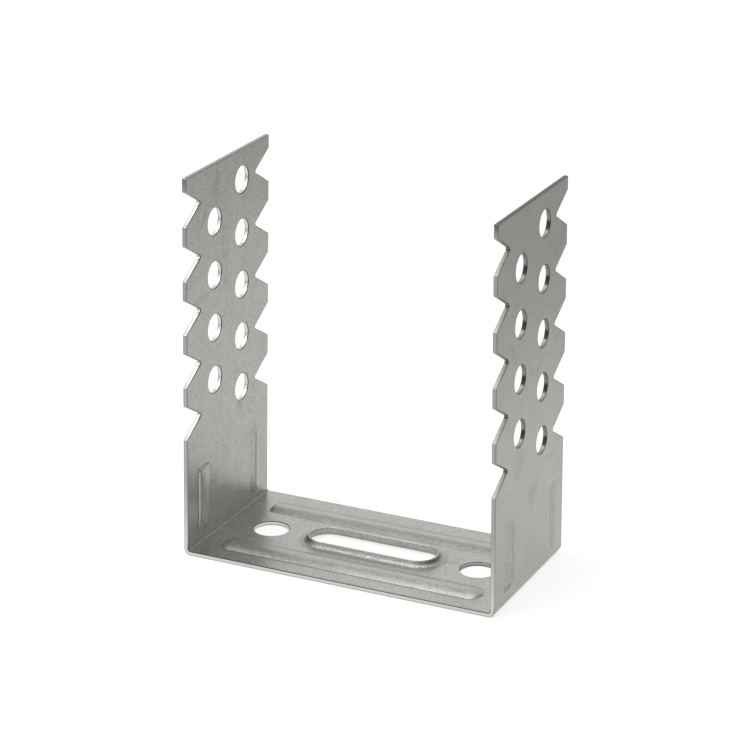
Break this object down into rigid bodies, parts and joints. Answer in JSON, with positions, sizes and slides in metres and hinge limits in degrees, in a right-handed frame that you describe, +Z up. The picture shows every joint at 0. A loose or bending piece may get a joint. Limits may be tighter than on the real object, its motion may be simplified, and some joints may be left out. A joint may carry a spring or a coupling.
{
  "type": "drywall direct hanger",
  "caption": "U-shaped folded sheet hanger that holds a ceiling profile between two perforated, notched legs and is screwed up through its slotted base.",
  "frame": {"origin": "centre of the flat underside of the base", "axes": "+X along the base from one leg to the other, +Y across the strip towards the column with more holes, +Z up the legs"},
  "size_m": [0.0642, 0.033, 0.075],
  "materials": {
    "galvanised_steel": "cold rolled, hot-dip galvanised with a fine dull spangle"
  },
  "bodies": {
    "root": {"hanger": "galvanised_steel"}
  },
  "joints": []
}
